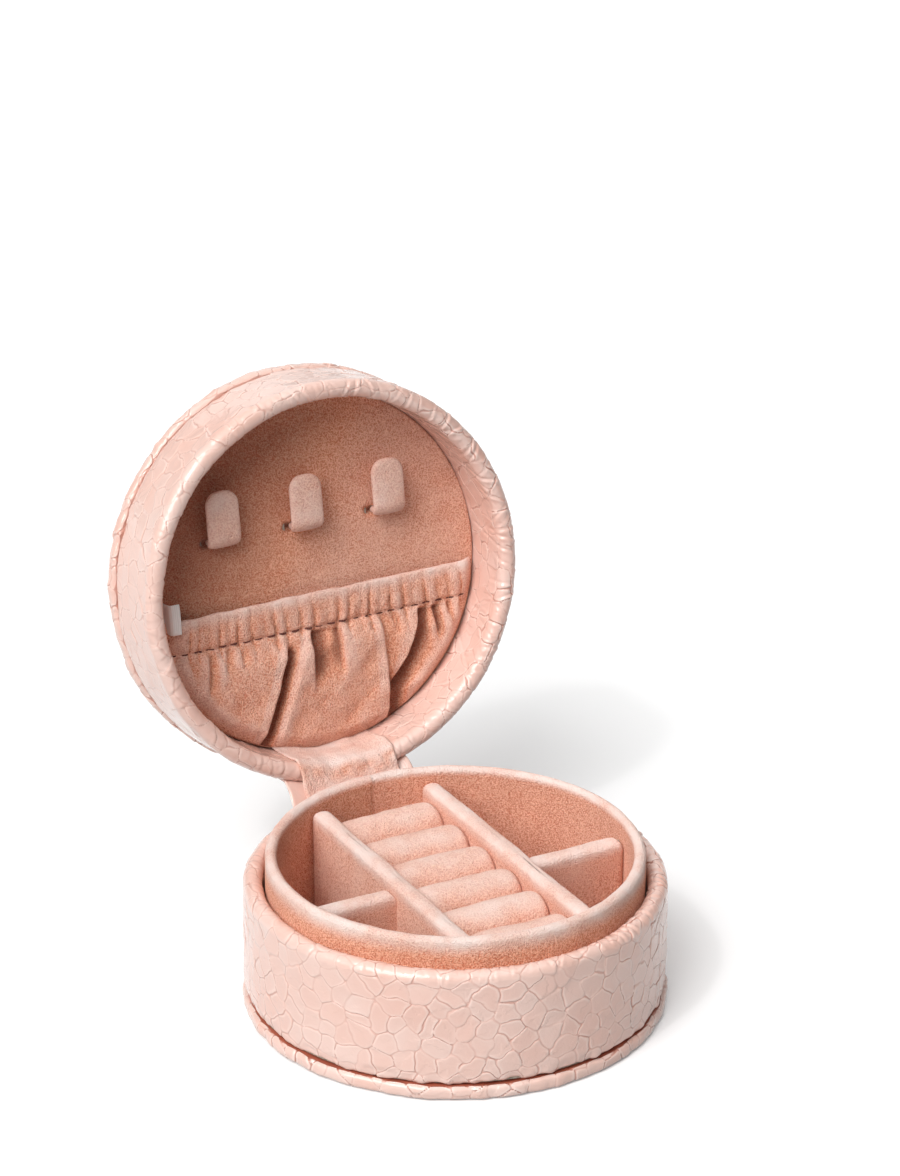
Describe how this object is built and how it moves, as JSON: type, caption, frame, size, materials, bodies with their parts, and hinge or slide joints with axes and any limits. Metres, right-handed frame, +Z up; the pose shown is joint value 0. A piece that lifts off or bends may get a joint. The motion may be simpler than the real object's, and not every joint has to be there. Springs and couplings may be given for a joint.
{
  "type": "jewelry box",
  "caption": "Round travel jewelry box with a cloth-hinged lid: leathercloth shell, velvet collar and dividers, ring rolls, necklace hooks and a gathered lid pocket.",
  "frame": {"origin": "centre of the underside of the base, where the box stands", "axes": "+Z up, +Y from the centre towards the hinge, +X to the right seen from the front"},
  "size_m": [0.101, 0.1414, 0.1324],
  "materials": {
    "leathercloth": "glossy crackle-embossed",
    "velvet": "brushed velvet",
    "pale_velvet": "brushed velvet",
    "board": "matte greyboard",
    "foam": "soft foam",
    "elastic": "woven elastic",
    "thread": "matte thread",
    "satin": "satin ribbon"
  },
  "bodies": {
    "base": {"base_plate_board": "board", "base_plate_cover": "leathercloth", "base_wall_board": "board", "base_wall_cover": "leathercloth", "base_floor_board": "board", "base_floor_lining": "velvet", "collar_board": "board", "collar_velvet": "velvet", "collar_packing_ring": "board", "rail_left_board": "board", "rail_left_cover": "pale_velvet", "rail_right_board": "board", "rail_right_cover": "pale_velvet", "cross_left_board": "board", "cross_left_cover": "pale_velvet", "cross_right_board": "board", "cross_right_cover": "pale_velvet", "ring_bed_foam": "foam", "ring_roll_core_1": "foam", "ring_roll_core_2": "foam", "ring_roll_core_3": "foam", "ring_roll_core_4": "foam", "ring_roll_core_5": "foam", "ring_roll_core_6": "foam", "ring_roll_cover_1": "pale_velvet", "ring_roll_cover_2": "pale_velvet", "ring_roll_cover_3": "pale_velvet", "ring_roll_cover_4": "pale_velvet", "ring_roll_cover_5": "pale_velvet", "ring_roll_cover_6": "pale_velvet", "hinge_strip_base": "leathercloth", "hinge_strip_fold": "leathercloth", "hinge_strap_base": "velvet", "hinge_strap_span": "velvet"},
    "lid": {"lid_plate_board": "board", "lid_plate_cover": "leathercloth", "lid_wall_board": "board", "lid_wall_cover": "leathercloth", "panel_foam": "foam", "panel_board": "board", "panel_velvet": "velvet", "hook_core_left": "board", "hook_core_middle": "board", "hook_core_right": "board", "hook_cover_left": "pale_velvet", "hook_cover_middle": "pale_velvet", "hook_cover_right": "pale_velvet", "pocket_front": "velvet", "pocket_header": "velvet", "pocket_elastic": "elastic", "pocket_stitching": "thread", "satin_tag": "satin", "hinge_strip_lid": "leathercloth", "hinge_strap_lid": "velvet"}
  },
  "joints": [
    {"name": "lid_hinge", "type": "hinge", "parent": "base", "child": "lid", "pos_m": [0, 0.0514, 0.03255], "axis": [1, 0, 0], "range_deg": [0, 98.9], "deforming": ["hinge_strip_fold", "hinge_strap_span"]}
  ]
}
